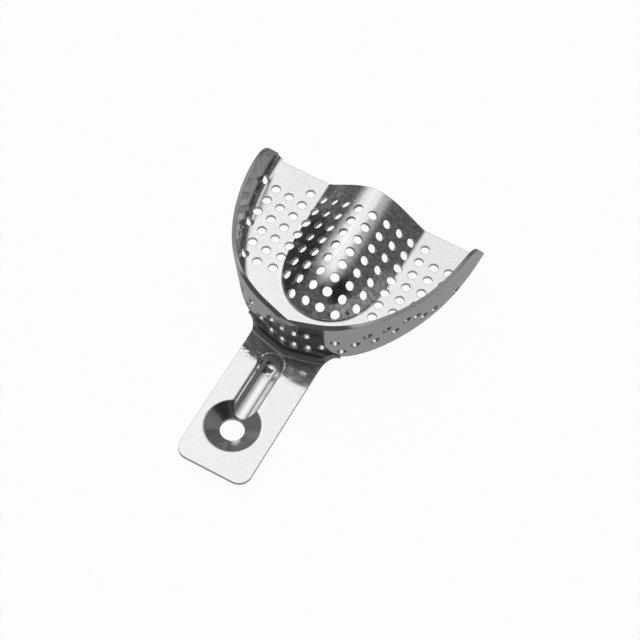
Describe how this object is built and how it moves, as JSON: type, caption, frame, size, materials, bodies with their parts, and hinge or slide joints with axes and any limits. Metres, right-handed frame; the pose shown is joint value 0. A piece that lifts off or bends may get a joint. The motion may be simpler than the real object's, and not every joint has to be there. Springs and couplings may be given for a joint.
{
  "type": "impression tray",
  "caption": "Perforated metal upper dental impression tray with a palate vault, a raised wall and a flat front handle with a round finger pressing.",
  "frame": {"origin": "on the midline, on the underside of the floor, between the palate vault and the front wall", "axes": "+Y along the midline towards the open rear of the tray, +Z from the floor towards the teeth, +X to one side; the handle points to -Y"},
  "size_m": [0.0668, 0.096, 0.0239],
  "materials": {
    "tray_steel": "mirror-polished stainless steel sheet",
    "handle_steel": "mirror-polished stainless steel sheet",
    "weld_steel": "dull fused steel"
  },
  "bodies": {
    "root": {"tray_body": "tray_steel", "handle": "handle_steel", "spot_welds": "weld_steel"}
  },
  "joints": []
}
